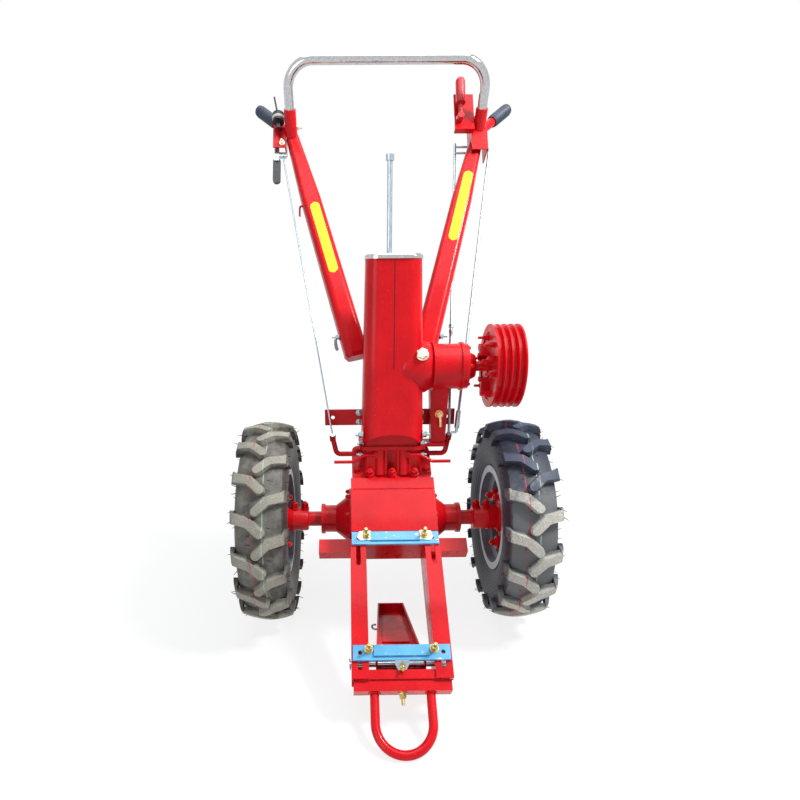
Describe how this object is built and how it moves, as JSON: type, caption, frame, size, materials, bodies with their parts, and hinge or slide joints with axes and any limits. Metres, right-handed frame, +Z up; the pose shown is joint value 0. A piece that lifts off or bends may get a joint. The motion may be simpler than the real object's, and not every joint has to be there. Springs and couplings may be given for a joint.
{
  "type": "walk-behind tractor chassis",
  "caption": "Two-wheeled walking tractor without engine: lugged tyres, gear column, belt clutch, engine frame with nose hoop and front stand, long handles.",
  "frame": {"origin": "on the ground, in the middle of the overall width and length, with the tractor parked nose down on its hoop", "axes": "+Z up, -Y forward towards the nose hoop, +X to the operator's left"},
  "size_m": [0.9492, 1.3733, 1.7194],
  "materials": {
    "black_plastic": "moulded black plastic",
    "blue_paint": "light blue enamel",
    "chrome": "bright plating",
    "disc_paint": "dark blue grey wheel paint",
    "grip_rubber": "moulded grip rubber",
    "red_casting": "gloss enamel over rough castings",
    "red_paint": "gloss enamel over sheet steel",
    "red_plastic": "moulded red grip on its bar",
    "rim_paint": "silver grey wheel paint",
    "tyre_rubber": "tyre rubber with a dusty bloom",
    "zinc_steel": "zinc plated steel"
  },
  "bodies": {
    "chassis": {"arch_socket_left": "red_paint", "arch_socket_right": "red_paint", "axle_tube_left": "red_casting", "axle_tube_right": "red_casting", "clutch_case": "red_casting", "clutch_lever": "red_plastic", "column": "red_casting", "column_top_plate": "chrome", "control_rods": "zinc_steel", "engine_bar_front": "blue_paint", "engine_bar_rear": "blue_paint", "final_drive_case": "red_casting", "frame_back_plate": "red_paint", "frame_plate": "red_paint", "front_beam": "red_paint", "gear_lever": "zinc_steel", "grab_arch": "chrome", "grip_left": "grip_rubber", "grip_right": "grip_rubber", "hand_lever": "black_plastic", "handle_arm_left": "red_paint", "handle_arm_right": "red_paint", "handle_seat": "red_casting", "handle_tube_left": "red_paint", "handle_tube_right": "red_paint", "lever_bracket": "red_paint", "nose_hoop": "red_paint", "rail_left": "red_paint", "rail_right": "red_paint", "rear_beam": "red_paint", "rear_hitch": "red_casting", "shift_rods": "red_casting", "side_bar": "red_paint", "stand_pin": "zinc_steel", "steering_arms": "red_casting", "steering_cable": "zinc_steel", "throttle": "black_plastic", "throttle_bracket": "red_paint"},
    "wheel_left": {"axle_shaft_left": "red_paint", "hub_left": "red_casting", "rim_left": "rim_paint", "tyre_left": "tyre_rubber", "wheel_disc_left": "disc_paint"},
    "wheel_right": {"axle_shaft_right": "red_paint", "hub_right": "red_casting", "rim_right": "rim_paint", "tyre_right": "tyre_rubber", "wheel_disc_right": "disc_paint"},
    "clutch": {"clutch_fingers": "red_casting", "clutch_pulley": "red_casting"},
    "stand": {"front_stand": "red_paint"}
  },
  "joints": [
    {"name": "wheel_left_spin", "type": "hinge", "parent": "chassis", "child": "wheel_left", "pos_m": [0.39, -0.01278, 0.32], "axis": [1, 0, 0], "continuous": true},
    {"name": "wheel_right_spin", "type": "hinge", "parent": "chassis", "child": "wheel_right", "pos_m": [-0.39, -0.01278, 0.32], "axis": [1, 0, 0], "continuous": true},
    {"name": "clutch_spin", "type": "hinge", "parent": "chassis", "child": "clutch", "pos_m": [0.292, 0.02359, 0.81632], "axis": [1, 0, 0], "continuous": true},
    {"name": "stand_fold", "type": "hinge", "parent": "chassis", "child": "stand", "pos_m": [0, -0.47896, 0.12216], "axis": [1, 0, 0], "range_deg": [-48, 18]}
  ]
}
